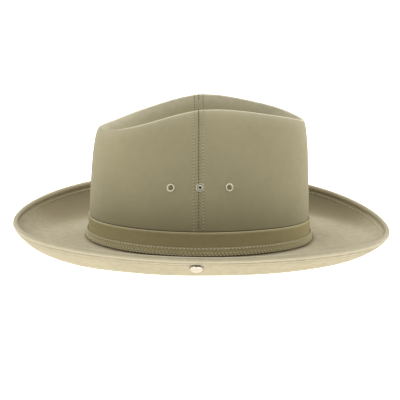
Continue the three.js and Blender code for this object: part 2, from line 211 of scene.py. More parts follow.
def crown_surface(turn, inset=0.0):
    """Rows over the crown from its foot across the ridge into the dent. turn holds a turn for
    each row and column. The ridge is softened by averaging each row with its neighbours,
    a few times along most of it and many times at the back."""
    wall = crown_wall(turn[:WALL_ROWS], WALL_RISE[:, None] + 0 * turn[:WALL_ROWS], inset)
    dent = crown_dent(turn[WALL_ROWS:], DENT_SHARE[:, None], inset)
    rows = np.concatenate([wall, dent])
    crisp = rows
    for step in range(SOFTEN_BACK):
        rows = np.concatenate([rows[:1], (rows[:-2] + 2 * rows[1:-1] + rows[2:]) / 4, rows[-1:]])
        if step == SOFTEN_PASSES - 1:
            crisp = rows
    share = soft_back(crisp[WALL_ROWS, :, 0])[None, :, None]
    return mix(crisp, rows, share)


SEAM_PASSES, ROW_PASSES = 6, 4


def seam_shift():
    """For each row, how far its turn lies past the middle of the side where the row crosses
    the seam's plane. Each pass moves the turn by its distance from the plane."""
    turn = np.full((CROWN_ROWS, 1), math.pi / 2)
    for _ in range(SEAM_PASSES):
        off = crown_surface(turn)[..., 0] - SEAM_X
        turn = turn + off / RIDGE_LENGTH
    return turn - math.pi / 2


def crown_turns(column):
    """A turn for each row and column: columns at the middle of each side follow the seam's
    plane, and the shift fades out to the front and the back with the sine of the turn."""
    return column + seam_shift() * np.sin(column)


def seam_relief(x):
    """Height of the cloth by its distance from the side seam: raised over the two seam
    allowances, sunk in the ditch between them and a little along both stitch rows."""
    off = np.abs(x - SEAM_X)
    raised = SEAM_RAISED / (1 + np.exp((off - SEAM_ALLOWANCE) / SEAM_EDGE))
    ditch = -DITCH_DEPTH * bell(off, DITCH_WIDTH)
    rows = -SEAM_DIP * bell(off - SEAM_STITCH, SEAM_DIP_WIDTH)
    return raised + ditch + rows


def hand_waves(points, height):
    """Slow unevenness of sewn cloth: the mean of three crossed sine waves, 50 to 65 mm long."""
    x, y, z = points[..., 0], points[..., 1], points[..., 2]
    wave = np.sin(x / 13.0 + z / 17.0 + 0.6) + np.sin(y / 11.0 - x / 19.0 + 2.1)
    return height * (wave + np.sin(z / 9.0 + y / 23.0 + 4.0)) / 3


def crown_cloth_faces(turn, closed):
    """The crown's outer face, its unit normals and its distance from the ridge. The normals are
    cross products of the grid's two directions. The face stands off the plain surface by the
    seam's relief, the cloth's slow waves and a small roll along the ridge, which all fade out
    over the first rows, behind the band, and towards the deepest line of the dent."""
    points = crown_surface(turn)
    if closed:
        across = np.roll(points, -1, axis=1) - np.roll(points, 1, axis=1)
    else:
        across = np.gradient(points, axis=1)
    normal = np.cross(across, np.gradient(points, axis=0))
    normal /= np.maximum(np.linalg.norm(normal, axis=-1, keepdims=True), 1e-9)
    down = run_down(points)
    ridge_off = np.abs(down - down[WALL_ROWS])
    roll = RIDGE_ROLL * bell(ridge_off, RIDGE_ROLL_WIDTH) * (1 - soft_back(points[..., 0]))
    past_ridge = np.arange(CROWN_ROWS)[:, None] > WALL_ROWS
    seam = seam_relief(points[..., 0]) * np.where(past_ridge, DENT_RELIEF, 1)
    relief = seam + hand_waves(points, CROWN_WAVES) + roll
    fade = np.ones((CROWN_ROWS, 1))
    fade[-DENT_FADE_ROWS:, 0] = np.linspace(1, 0, DENT_FADE_ROWS)
    fade[:FOOT_FADE_ROWS, 0] = np.linspace(0, 1, FOOT_FADE_ROWS)
    return points + normal * (relief * fade)[..., None], normal, ridge_off


def brim_line(turn):
    """A plan line from the crown's margin to the brim's edge, with the section's sizes."""
    start = np.stack([CROWN_X + (FOOT_LENGTH + MARGIN) * np.cos(turn),
                      (FOOT_WIDTH + MARGIN) * np.sin(turn)], -1)
    reach = np.where(np.cos(turn) > 0, BRIM_FRONT, BRIM_BACK)
    end = np.stack([CROWN_X + reach * np.cos(turn), BRIM_SIDE * np.sin(turn)], -1)
    run = end - start
    length = np.linalg.norm(run, axis=-1)
    curl = np.radians(around(BRIM["curl"], turn))
    low = around(BRIM["low"], turn)
    sunk = BRIM_CLOTH / 2
    width = length - BEAD_RADIUS - sunk * np.sin(curl)
    rise = around(BRIM["edge"], turn) - BEAD_RADIUS + sunk * np.cos(curl) - low
    return start, run / length[..., None], width, low, rise, curl


def brim_surface(turn, step, depth):
    """The brim: a parabola falls from the foot to the lowest ring at step 1, and an arc of an
    ellipse rolls up to the bead at step 2. depth is how far below the upper face a point
    lies, and nothing lies below the surface that the hat rests on."""
    start, outward, width, lowest, rise, curl = brim_line(turn)
    foot = foot_height(turn)
    flat = width * around(BRIM["low_at"], turn)
    left = 1 - np.minimum(step, 1)
    angle = np.maximum(step - 1, 0) * curl
    reach_unit = (width - flat) / np.sin(curl)
    rise_unit = rise / (1 - np.cos(curl))
    falling = step < 1
    out = np.where(falling, step * flat, flat + reach_unit * np.sin(angle))
    up = np.where(falling, lowest + (foot - lowest) * left * left,
                  lowest + rise_unit * (1 - np.cos(angle)))
    slope = np.where(falling, -2 * (foot - lowest) * left / flat,
                     rise_unit * np.tan(angle) / reach_unit)
    upright = 1 / np.hypot(1, slope)
    along = out + depth * slope * upright
    height = np.maximum(0, up - depth * upright)
    return np.concatenate([start + outward * along[..., None], height[..., None]], -1)


def step_before_edge(turn, distance):
    """The step whose point lies a distance in front of the bead's middle, along the arc."""
    probe = 0.05
    end = brim_surface(turn, 2.0 + 0 * turn, 0 * turn)
    before = brim_surface(turn, 2.0 - probe + 0 * turn, 0 * turn)
    return 2.0 - probe * distance / np.linalg.norm(end - before, axis=-1)


# Mesh building

def grid_faces(rows, columns, ring_rows=False, ring_columns=False):
    """Four-cornered faces of a grid of points, wrapping round where it is a ring."""
    row = np.arange(rows if ring_rows else rows - 1)[:, None]
    column = np.arange(columns if ring_columns else columns - 1)[None, :]
    next_row, next_column = (row + 1) % rows, (column + 1) % columns
    corners = [row * columns + column, row * columns + next_column,
               next_row * columns + next_column, next_row * columns + column]
    return np.stack(np.broadcast_arrays(*corners), -1).reshape(-1, 4)


def facing_out(points, faces):
    """The faces, turned over together if the solid that they close has a negative volume."""
    a, b, c, d = (points[faces[:, i]] for i in range(4))
    volume = np.einsum("ij,ij->", a, np.cross(b, c)) + np.einsum("ij,ij->", a, np.cross(c, d))
    return faces if volume > 0 else faces[:, ::-1]


MERGE_DECIMALS = 4


def added(name, data):
    """A new object in the scene, with a mesh, a light or a camera."""
    made = bpy.data.objects.new(name, data)
    bpy.context.scene.collection.objects.link(made)
    return made


def make_piece(name, points, faces, uv, painted_light_and_wear, material, replaced=None):
    """A mesh object from whole arrays. Points that fall together are made one, and a face's
    corners that do so too, so that a row that closes up ends in triangles."""
    points, uv, painted_light_and_wear = points.reshape(-1, 3), uv.reshape(-1, 2), painted_light_and_wear.ravel()
    keys, first, where = np.unique(np.round(points, MERGE_DECIMALS), axis=0, return_index=True,
                                   return_inverse=True)
    faces = where.reshape(-1)[facing_out(points, faces)]
    uv, painted_light_and_wear = uv[first], painted_light_and_wear[first]
    following = np.roll(faces, -1, axis=1)
    keep = faces != following
    counts = keep.sum(axis=1)
    solid = counts >= 3
    faces, keep, counts = faces[solid], keep[solid], counts[solid]
    corners = faces[keep]
    mesh = bpy.data.meshes.new(name)
    mesh.vertices.add(len(keys))
    mesh.vertices.foreach_set("co", (keys * MM).ravel())
    mesh.loops.add(len(corners))
    mesh.loops.foreach_set("vertex_index", corners.astype(np.int32))
    mesh.polygons.add(len(counts))
    starts = np.concatenate([[0], np.cumsum(counts)[:-1]])
    mesh.polygons.foreach_set("loop_start", starts.astype(np.int32))
    mesh.update(calc_edges=True)
    mesh.validate()
    mesh.uv_layers.new(name="cloth").data.foreach_set("uv", (uv[corners] * MM).ravel())
    layer = mesh.attributes.new("painted_light_and_wear", "FLOAT", "POINT")
    layer.data.foreach_set("value", painted_light_and_wear.astype(np.float32))
    mesh.shade_smooth()
    piece = added(name, mesh)
    mesh.materials.append(material)
    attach(piece, "root")
    if replaced:
        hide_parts(replaced)
    return piece


def lengths_over(points):
    """Distance run along one row, a third of the way over the piece, and down the columns,
    as coordinates for the weave."""
    middle = points[len(points) // 3]
    return np.stack(np.broadcast_arrays(run_down(middle)[None, :], run_down(points)), -1)


# Materials

# A colour mix's sockets by number, because its other kinds of mix share their names
SHARE_SOCKET, FIRST_COLOUR, SECOND_COLOUR, COLOUR_OUTPUT = 0, 6, 7, 2


class Value:
    """A shader socket that Python's operators can work on. Each operator adds a Math node."""

    def __init__(self, finish, socket):
        self.finish, self.socket = finish, socket

    def maths(self, operation, *others):
        """A Math node that works on this socket and the others."""
        sockets = dict(enumerate((self,) + others))
        return self.finish.node("ShaderNodeMath", {"operation": operation}, sockets)

    def __add__(self, other):
        return self.maths("ADD", other)

    def __mul__(self, other):
        return self.maths("MULTIPLY", other)

    __radd__, __rmul__ = __add__, __mul__

    def __sub__(self, other):
        return self.maths("SUBTRACT", other)

    def __rsub__(self, other):
        return self.maths("MULTIPLY_ADD", -1.0, other)

    def sine(self):
        """The sine of this socket, in radians."""
        return self.maths("SINE")


class Finish:
    """A material with one Principled shader, whose other nodes all come from node()."""

    def __init__(self, name, constants):
        self.material = bpy.data.materials.new(name)
        self.material.use_nodes = True
        self.tree = self.material.node_tree
        self.shader = self.tree.nodes["Principled BSDF"]
        for socket, value in constants.items():
            self.shader.inputs[socket].default_value = value

    def node(self, kind, settings=None, sockets=None, output=0):
        """A node of a kind, with its settings made first and then its sockets, each from a
        link or a plain value. Returns one of its outputs."""
        made = self.tree.nodes.new(kind)
        for key, value in (settings or {}).items():
            setattr(made, key, value)
        for key, value in (sockets or {}).items():
            if isinstance(value, Value):
                self.tree.links.new(value.socket, made.inputs[key])
            else:
                made.inputs[key].default_value = value
        return Value(self, made.outputs[output])

    def place(self):
        """The piece's own object coordinates."""
        return self.node("ShaderNodeTexCoord", None, None, output="Object")

    def painted_light_and_wear(self):
        """The piece's painted light and wear: above 0 a paler tone, for wear and painted highlight,
        below 0 a darker tone, for painted shade in creases and grooves. On metal it is painted
        shade in hollows and grooves, from 0 to 1."""
        return self.node("ShaderNodeAttribute", {"attribute_name": "painted_light_and_wear"}, None, output="Fac")

    def noise(self, place, size, detail):
        """Noise whose features are about that many millimetres wide, from 0 to 1."""
        sockets = {"Vector": place, "Scale": 1 / (size * MM), "Detail": detail}
        return self.node("ShaderNodeTexNoise", None, sockets)

    def blend(self, share, a, b):
        """A colour a share of the way from a to b, each a plain colour or a socket."""
        colours = {FIRST_COLOUR: (*a, 1.0) if isinstance(a, tuple) else a,
                   SECOND_COLOUR: (*b, 1.0) if isinstance(b, tuple) else b, SHARE_SOCKET: share}
        settings = {"data_type": "RGBA", "clamp_factor": True}
        return self.node("ShaderNodeMix", settings, colours, output=COLOUR_OUTPUT)

    def join(self, value, socket):
        """Links a value to one of the shader's sockets."""
        self.tree.links.new(value.socket, self.shader.inputs[socket])

    def bump(self, height, distance, strength):
        """Fine relief, its full height that many millimetres."""
        sockets = {"Height": height, "Distance": distance * MM, "Strength": strength}
        self.join(self.node("ShaderNodeBump", None, sockets), "Normal")


# Sizes of the cloth's patterns in millimetres: slow clouds, small clouds, the nap and the twill
SLOW_SIZE, CLOUD_SIZE, NAP_SIZE, TWILL_SIZE = 38.0, 6.0, 0.9, 0.55
SLOW_TONE, CLOUD_TONE, NAP_TONE, TWILL_TONE = 0.55, 0.40, 0.55, 0.09
# The last share darkens the tone where shade is painted into the cloth
DARKER, LIGHTER, PAINTED_SHADE_SHARE = 0.84, 1.13, 0.22
SHEEN_TINT = (1.0, 0.94, 0.76, 1.0)
FIBRE_SIZE, METAL_CLOUD_SIZE, SCRATCH_SIZE = 0.25, 1.6, 0.22
# Near-black tone of the painted shade in the metal's hollows and grooves
HOLLOW_SHADE_TONE = (0.07, 0.06, 0.035)


def shaded(tone, share):
    """A tone made darker or lighter by a share, and never brighter than white."""
    return tuple(min(1, c * share) for c in tone)


def cloth_finish(name, tone, pale_tone, sheen):
    """Smooth brushed cotton: a fine twill on the piece's own coordinates under a soft nap, with
    slow changes of tone. It is paler where its painted light and wear are above 0, for wear
    and painted highlight on ridges, edges and lit faces, and dark where they are below 0, for
    painted shade in creases and grooves."""
    made = Finish(name, {"Sheen Weight": sheen, "Sheen Roughness": 0.45,
                         "Specular IOR Level": 0.15, "Sheen Tint": SHEEN_TINT})
    place = made.place()
    uv = made.node("ShaderNodeUVMap", {"uv_map": "cloth"})
    split = made.tree.nodes.new("ShaderNodeSeparateXYZ")
    made.tree.links.new(uv.socket, split.inputs[0])
    across, down = Value(made, split.outputs[0]), Value(made, split.outputs[1])
    pitch = 2 * math.pi / (TWILL_SIZE * MM)
    twill = ((across + down) * pitch).sine() * 0.6 + ((across - down) * pitch).sine() * 0.4
    slow = made.noise(place, SLOW_SIZE, 3.0)
    cloudy = made.noise(place, CLOUD_SIZE, 4.0)
    nap = made.noise(place, NAP_SIZE, 4.0)
    clouds = (slow - 0.5) * SLOW_TONE + (cloudy - 0.5) * CLOUD_TONE
    tone_change = clouds + (nap - 0.5) * NAP_TONE + twill * TWILL_TONE
    colour = made.blend(tone_change + 0.5, shaded(tone, DARKER), shaded(tone, LIGHTER))
    painted_light_and_wear = made.painted_light_and_wear()
    # Painted light: above 0 the colour goes towards the pale tone, below 0 it darkens as painted
    # shade
    paleness = painted_light_and_wear * (0.80 + (cloudy - 0.5) * 0.7)
    paled = made.blend(paleness, colour, pale_tone)
    made.join(made.blend(painted_light_and_wear * -1.0, paled, shaded(tone, PAINTED_SHADE_SHARE)), "Base Color")
    made.join(0.94 - painted_light_and_wear * 0.10 + (nap - 0.5) * 0.08, "Roughness")
    made.bump(twill * 0.35 + (nap - 0.5) * 1.3 + (cloudy - 0.5) * 2.0, 0.12, 0.7)
    return made.material


def thread_finish(name, tone):
    """Sewing thread: slightly glossy, with its fibres as fine flecks of tone and relief."""
    made = Finish(name, {"Roughness": 0.6, "Sheen Weight": 0.1})
    fibre = made.noise(made.place(), FIBRE_SIZE, 3.0)
    made.join(made.blend(fibre, shaded(tone, 0.8), tone), "Base Color")
    made.bump(fibre, 0.08, 0.6)
    return made.material


def metal_finish(name, tone, roughness, metallic=1.0):
    """Plated metal: faint clouding and fine scratches in colour, gloss and relief, and dark
    where shade is painted into its hollows and grooves."""
    made = Finish(name, {"Metallic": metallic})
    place = made.place()
    cloud = made.noise(place, METAL_CLOUD_SIZE, 4.0)
    scratch = made.noise(place, SCRATCH_SIZE, 2.0)
    plated = made.blend(cloud, shaded(tone, 0.86), tone)
    made.join(made.blend(made.painted_light_and_wear(), plated, HOLLOW_SHADE_TONE), "Base Color")
    made.join(roughness + (cloud - 0.5) * 0.16 + (scratch - 0.5) * 0.08, "Roughness")
    made.bump(scratch, 0.02, 0.4)
    return made.material


# Each cloth has its tone, its pale tone for wear and painted highlight, and its sheen
BRIM_PALE_TONE, BAND_PALE_TONE = (0.78, 0.72, 0.54), (0.70, 0.62, 0.38)
crown_cloth = cloth_finish("crown cotton", (0.350, 0.310, 0.184), (0.92, 0.87, 0.69), 0.42)
band_cloth = cloth_finish("band cotton", (0.424, 0.360, 0.190), BAND_PALE_TONE, 0.10)
strip_cloth = cloth_finish("strip cotton", (0.500, 0.438, 0.258), BAND_PALE_TONE, 0.10)
# The brim's own tone is kept dark so that its curl reads as shaded; the flat ring and under face
# are painted paler over it
brim_cloth = cloth_finish("brim cotton", (0.315, 0.268, 0.165), BRIM_PALE_TONE, 0.22)
bead_cloth = cloth_finish("bead cotton", (0.400, 0.348, 0.229), BRIM_PALE_TONE, 0.60)
pale_thread = thread_finish("pale thread", (0.92, 0.84, 0.58))
crown_thread = thread_finish("crown thread", (0.72, 0.66, 0.44))
brim_thread = thread_finish("brim thread", (0.50, 0.44, 0.31))
band_thread = thread_finish("band thread", (0.80, 0.74, 0.52))
# Near-black pieces in the seam's ditch are painted shade
ditch_shade = thread_finish("seam ditch shade", (0.05, 0.042, 0.02))
hole_shade = thread_finish("needle hole shade", (0.16, 0.135, 0.07))
# The eyelets' pale cream with no metallic reflection, and the stud's pale base with little, stand
# in for the bright reflection of plated nickel: painted reflection
eyelet_metal = metal_finish("eyelet nickel", (1.0, 0.95, 0.75), 0.36, 0.0)
stud_metal = metal_finish("stud nickel", (0.86, 0.82, 0.68), 0.28, 0.35)
cap_metal = metal_finish("cap nickel", (0.60, 0.55, 0.455), 0.24)


# Pieces

SEAM_COLUMNS, PANEL_COLUMNS = 36, 140
SEAM_ZONE = 0.085
RIDGE_HIGHLIGHT_AND_WEAR, RIDGE_HIGHLIGHT_WIDTH = 1.5, 0.85
DENT_LIGHT, WALL_LIGHT, BROAD_LIGHT_WIDTH = 0.40, 0.10, 9.0
BAND_TOP_SHADE, BAND_TOP_SHADE_UP, BAND_TOP_SHADE_WIDTH = 0.75, 0.2, 0.75


def panel_columns(middle):
    """Columns of a panel from one side seam to the other: fine beside the two seams, where
    their relief needs it, and even over the rest."""
    half = math.pi / 2
    fine = np.linspace(0, SEAM_ZONE, SEAM_COLUMNS, endpoint=False)
    even = np.linspace(SEAM_ZONE, 2 * half - SEAM_ZONE, PANEL_COLUMNS, endpoint=False)
    last = 2 * half - fine[:0:-1]
    return middle - half + np.concatenate([fine, even, [2 * half - SEAM_ZONE], last])


def crown_panels():
    """The crown's two cloth panels, front and back, cut from one closed grid so that they
    meet exactly along both side seams. Each is an outer and an inner face, joined along the
    foot and down both seams. The ridge is painted pale by a narrow bell, partly wear and partly
    painted highlight, the cloth beside it by a wide bell of painted light, and a bell of painted
    shade lies just above the band."""
    front, back = panel_columns(0.0), panel_columns(math.pi)
    turn = crown_turns(np.concatenate([front, back]))
    outer, _, ridge_off = crown_cloth_faces(turn, closed=True)
    inner = crown_surface(turn, CROWN_CLOTH)
    seams = [0, len(front)]
    outer[:, seams, 0] = SEAM_X
    inner[:, seams, 0] = SEAM_X
    in_dent = np.arange(CROWN_ROWS)[:, None] > WALL_ROWS
    # Painted highlight along the ridge, partly its wear
    painted_light_and_wear = RIDGE_HIGHLIGHT_AND_WEAR * bell(ridge_off, RIDGE_HIGHLIGHT_WIDTH) * (1 - soft_back(outer[..., 0]))
    # Broad painted light on the cloth beside the ridge, more of it in the dent
    painted_light_and_wear = painted_light_and_wear + np.where(in_dent, DENT_LIGHT, WALL_LIGHT) * bell(ridge_off, BROAD_LIGHT_WIDTH)
    # Painted shade in a bell just above the band's top edge
    above_band = outer[..., 2] - foot_height(turn) - GAP - BAND_HEIGHT
    painted_light_and_wear = painted_light_and_wear - BAND_TOP_SHADE * bell(above_band - BAND_TOP_SHADE_UP, BAND_TOP_SHADE_WIDTH)
    panels = []
    for replaced, first, count in (("crown_front", 0, len(front)),
                                   ("crown_back", len(front), len(back))):
        columns = np.arange(first, first + count + 1) % turn.shape[1]
        panels.append(crown_panel(replaced, outer[:, columns], inner[:, columns], painted_light_and_wear[:, columns]))
    return panels


def crown_panel(replaced, outer, inner, painted_light_and_wear):
    """One panel as a closed shell: the outer grid, the inner grid turned over, and a strip of
    faces from one to the other along the foot, the first column and the last column. The last
    row folds onto itself along the dent's deepest line, where its points are merged."""
    rows, columns = painted_light_and_wear.shape
    count = rows * columns
    index = np.arange(count).reshape(rows, columns)
    skin = grid_faces(rows, columns)

    def strip(here, there):
        return np.stack([here, there, there + count, here + count], -1)
    foot = strip(index[0, 1:], index[0, :-1])
    first = strip(index[:-1, 0], index[1:, 0])
    last = strip(index[1:, -1], index[:-1, -1])
    faces = np.concatenate([skin, skin[:, ::-1] + count, foot, first, last])
    uv = lengths_over(outer)
    return make_piece(f"{replaced}_cotton", np.concatenate([outer, inner]), faces,
                      np.concatenate([uv, uv]), np.concatenate([painted_light_and_wear, 0 * painted_light_and_wear]), crown_cloth,
                      replaced)


def wall_ring(turn, height, off):
    """A point on the crown's wall at a height over its foot, moved square off the wall in plan."""
    foot = foot_height(turn) + GAP
    rise = height / (ridge_line(turn, 0)[..., 2] - foot)
    point = crown_wall(turn, rise, 0)
    outward = unit(np.stack([FOOT_WIDTH * np.cos(turn), FOOT_LENGTH * np.sin(turn), 0 * turn], -1))
    return point + outward * np.asarray(off)[..., None], outward


def foot_shade(turn):
    """Share of the painted shade in the crease at the crown's foot: most at the sides, where
    the brim bends up, and least at the front and the back, by the square of the turn's sine."""
    return 0.3 + 0.7 * np.sin(turn) ** 2


RIBBON_COLUMNS, RIBBON_ROWS = 900, 12
CORNER_SHARE, RIBBON_HOLLOW = 0.35, 0.10
RIBBON_WAVES = 0.10
STRIP_FOOT_SHADE, STRIP_FOOT_SHADE_WIDTH = 0.9, 0.4
LAP_WEAR, LAP_WEAR_WIDTH = 0.4, 0.6


def ribbon_profile(height, rounding):
    """A ribbon's cross-section as height and stand-off: a rectangle of the cloth's thickness
    with its outer corners bevelled over the rounding, and its outer face slightly hollow."""
    even = np.linspace(0, 1, RIBBON_ROWS)
    heights = np.concatenate([[0], even * (height - 2 * rounding) + rounding, [height]])
    face = BAND_CLOTH * (1 - RIBBON_HOLLOW * np.sin(math.pi * even))
    corner = [CORNER_SHARE * BAND_CLOTH]
    stand = np.concatenate([corner, face, corner, np.zeros(RIBBON_ROWS + 2)])
    return np.concatenate([heights, heights[::-1]]), stand


def strip_lap(points):
    """Extra stand-off where the strip's finished end laps over its start, on the right side:
    it begins sharply at the end and sinks away evenly towards the back."""
    behind = STRIP_END_X - points[..., 0]
    lap = LAP_HEIGHT / (1 + np.exp(-behind / LAP_EDGE)) * np.clip(1 - behind / LAP_LENGTH, 0, 1)
    return np.where(points[..., 1] < 0, lap, 0)


def ribbon(replaced, height, off, rounding, edge_light, material):
    """A cloth ribbon round the crown's foot: its cross-section carried round the wall, with a
    slow wave in its upper part. A narrow bell over the top edge is painted light: a painted
    highlight on the band and painted shade on the strip. The strip has painted shade along its
    lower edge and a line of wear down its lapped end."""
    heights, stand = ribbon_profile(height, rounding)
    turn = np.broadcast_to(ring_turns(RIBBON_COLUMNS), (len(heights), RIBBON_COLUMNS))
    level = np.broadcast_to(heights[:, None], turn.shape)
    plain, outward = wall_ring(turn, level, off + 0 * level)
    wave = np.sin(turn * 9 + 1.0) * np.sin(turn * 4) * (level > 0.7 * height)
    waves = 1 + RIBBON_WAVES * wave
    is_strip = replaced == "band_strip"
    lap = strip_lap(plain) if is_strip else 0 * level
    points = plain + outward * (stand[:, None] * waves * (1 + lap / BAND_CLOTH))[..., None]
    faces = grid_faces(*turn.shape, ring_rows=True, ring_columns=True)
    uv = np.stack([turn * FOOT_WIDTH, level], -1)
    # Painted light along the top edge: above 0 a highlight, below 0 shade
    painted_light_and_wear = edge_light * bell(level - height, rounding)
    if is_strip:
        # Painted shade along the strip's foot, where it meets the brim
        painted_light_and_wear = painted_light_and_wear - STRIP_FOOT_SHADE * foot_shade(turn) * bell(level, STRIP_FOOT_SHADE_WIDTH)
        end = bell(points[..., 0] - STRIP_END_X, LAP_WEAR_WIDTH)
        painted_light_and_wear = painted_light_and_wear + LAP_WEAR * end * (points[..., 1] < 0)
    make_piece(f"{replaced}_cotton", points, faces, uv, painted_light_and_wear, material, replaced)


# The brim's and the bead's grids, how far the brim reaches into the bead, and the bead's size
BRIM_ROWS, BRIM_COLUMNS, BRIM_CROWDING = 64, 620, 1.8
BEAD_SIDES, BEAD_COLUMNS = 26, 720
BEAD_BITE = 0.3
BEAD_FULL, BEAD_LIFT, BEAD_FLAT, BEAD_PINCH = 2.5, 0.65, 0.95, 0.012

# Where painted light makes the brim paler and painted shade makes it darker, in steps over it
BRIM_PALE, BRIM_PALE_UNDER = 0.56, 0.33
PALE_FROM, PALE_TO, PALE_FADE = 0.08, 1.15, 0.16
FOOT_SHADE_STEP, GROOVE_SHADE_STEP = 0.045, 0.016
CURL_LIT, CURL_SHADE, CURL_LIT_POWER = 1.02, 0.36, 12
CURL_FROM, CURL_FADE = 1.05, 0.14
CREST_HIGHLIGHT, SIDE_HIGHLIGHT = 0.45, 0.25


def brim_steps(turn):
    """Steps of the brim's rows: over the fall and the roll, closer together by a power towards
    the edge, and ending just inside the bead."""
    last = step_before_edge(turn, BEAD_RADIUS - BEAD_BITE)
    share = np.linspace(0, 1, BRIM_ROWS)[:, None]
    return (1 - (1 - share) ** BRIM_CROWDING) * last


def curl_light(turn, step):
    """The brim's curl gets painted shade along the sides and painted light at the front and
    the back: a high even power of the turn's cosine, faded in over the roll."""
    lit_ends = CURL_LIT * np.cos(turn) ** CURL_LIT_POWER
    return (lit_ends - CURL_SHADE) / (1 + np.exp((CURL_FROM - step) / CURL_FADE))


def hem_relief(turn, step, groove_depth, flare):
    """The hem sinks a little along its stitch row. Beside the bead it falls away by the
    groove's depth on the upper face, and swells by the flare to meet it on the under face."""
    start = step_before_edge(turn, BEAD_RADIUS)
    distance = (start - step) * BEAD_RADIUS / (2 - start)
    stitched = HEM_DIP * bell(distance - HEM_WIDTH, HEM_DIP_WIDTH)
    near = np.maximum(distance, 0)
    return flare * bell(near, FLARE_WIDTH) - groove_depth * bell(near, GROOVE_WIDTH) - stitched


def brim_piece():
    """The brim: upper face, under face and inner margin, joined into one closed ring. Slow
    waves swell and fade over it with a sine of the step. The flat ring and the under face are
    painted pale as lit faces, the curl gets painted light and shade, and painted shade lies in
    bells at the crown's foot and beside the bead."""
    turn = np.broadcast_to(ring_turns(BRIM_COLUMNS), (BRIM_ROWS, BRIM_COLUMNS))
    step = brim_steps(turn)
    uneven = hand_waves(brim_surface(turn, step, 0 * turn), BRIM_WAVES)
    uneven = uneven * np.sin(np.clip(step, 0, 2) * math.pi / 2)
    upper = brim_surface(turn, step, -hem_relief(turn, step, GROOVE_ABOVE, 0.0) - uneven)
    under_relief = hem_relief(turn, step, GROOVE_UNDER, FLARE_UNDER)
    under = brim_surface(turn, step, BRIM_CLOTH + under_relief - uneven)[::-1]
    inward = np.stack([FOOT_LENGTH, FOOT_WIDTH]) - CROWN_CLOTH - MARGIN_INNER
    around_head = ring_turns(BRIM_COLUMNS)
    height = foot_height(around_head)
    plan = [CROWN_X + inward[0] * np.cos(around_head), inward[1] * np.sin(around_head)]
    top = np.stack(plan + [height], -1)[None]
    bottom = np.stack(plan + [np.maximum(0, height - BRIM_CLOTH)], -1)[None]
    points = np.concatenate([top, upper, under, bottom])
    faces = grid_faces(len(points), BRIM_COLUMNS, ring_rows=True, ring_columns=True)
    uv = np.stack(np.broadcast_arrays(around_head * BRIM_SIDE, run_down(points)), -1)
    # Painted light: the flat ring is paler than the cloth's own tone, with painted shade at the
    # crown's foot and in the groove beside the bead
    pale = BRIM_PALE * np.clip(step / PALE_FROM, 0, 1)
    pale = pale / (1 + np.exp((step - PALE_TO) / PALE_FADE))
    pale = pale - foot_shade(turn) * bell(step, FOOT_SHADE_STEP)
    pale = pale + curl_light(turn, step) - bell(step - step[-1], GROOVE_SHADE_STEP)
    margin = np.zeros((1, BRIM_COLUMNS))
    # The under face is painted paler, as if lit from the floor below
    painted_light_and_wear = np.concatenate([margin, pale, BRIM_PALE_UNDER + 0 * step, margin])
    make_piece("brim_cotton", points, faces, uv, painted_light_and_wear, brim_cloth, "brim")


def bead_piece():
    """The rolled edge: a slightly flattened round carried round the brim's edge, pinched a
    little by two crossed waves, with painted highlights along its crest and its outer side."""
    angle = ring_turns(BEAD_SIDES)[:, None]
    turn = np.broadcast_to(ring_turns(BEAD_COLUMNS), (BEAD_SIDES, BEAD_COLUMNS))
    middle = brim_surface(turn, 2.0 + 0 * turn, BRIM_CLOTH / 2 - BEAD_LIFT + 0 * turn)
    outward = brim_line(turn)[1]
    pinch = 1 + BEAD_PINCH * np.sin(turn * 47) * np.sin(turn * 13)
    across = BEAD_FULL * BEAD_FLAT * pinch * np.cos(angle)
    height = BEAD_FULL * pinch * np.sin(angle)
    points = middle + np.stack([outward[..., 0] * across, outward[..., 1] * across, height], -1)
    faces = grid_faces(BEAD_SIDES, BEAD_COLUMNS, ring_rows=True, ring_columns=True)
    uv = np.stack([turn * BRIM_SIDE, angle * BEAD_RADIUS + 0 * turn], -1)
    # Painted highlights on the bead's crest and outer side
    crest = CREST_HIGHLIGHT * np.clip(np.sin(angle - 0.2), 0, 1) ** 5
    painted_light_and_wear = crest + SIDE_HIGHLIGHT * np.clip(np.cos(angle + 0.6), 0, 1) + 0 * turn
    make_piece("brim_bead", points, faces, uv, painted_light_and_wear, bead_cloth, "brim_edge")


# Stitches

# A stitch's faces, the spread of their direction, height and place, and how much further on
# in its pitch each row starts
STITCH_SIDES, STITCH_RINGS = 6, 5
TURN_SPREAD, HEIGHT_SPREAD, PLACE_SPREAD = 0.045, 0.03, 0.05
ROW_SHIFT = 0.37
STITCH_SEED = 7
LOOK_AHEAD = 0.4
ROW_ABOVE_BAND = 1.5


def stitch_shape(length, width):
    """One stitch: an arched tube along X that narrows and dives at both ends."""
    rings, sides = STITCH_RINGS, STITCH_SIDES
    along, angle = np.linspace(-1, 1, rings), ring_turns(sides)
    girth = width / 2 * np.sqrt(np.maximum(0.04, 1 - along ** 4))
    arch = 0.5 * width * (1 - along ** 2)
    x = np.broadcast_to((along * length / 2)[:, None], (rings, sides))
    y = girth[:, None] * np.cos(angle)
    z = girth[:, None] * np.sin(angle) + arch[:, None]
    body = np.stack([x, y, z], -1).reshape(-1, 3)
    tips = np.array([[-length / 2, 0, 0], [length / 2, 0, 0]])
    faces = grid_faces(rings, sides, ring_columns=True)
    here = np.arange(sides)
    there, tip, base = (here + 1) % sides, rings * sides + 0 * here, (rings - 1) * sides
    start = np.stack([there, here, tip, tip], -1)
    end = np.stack([base + here, base + there, tip + 1, tip + 1], -1)
    return np.concatenate([body, tips]), np.concatenate([faces, start, end])


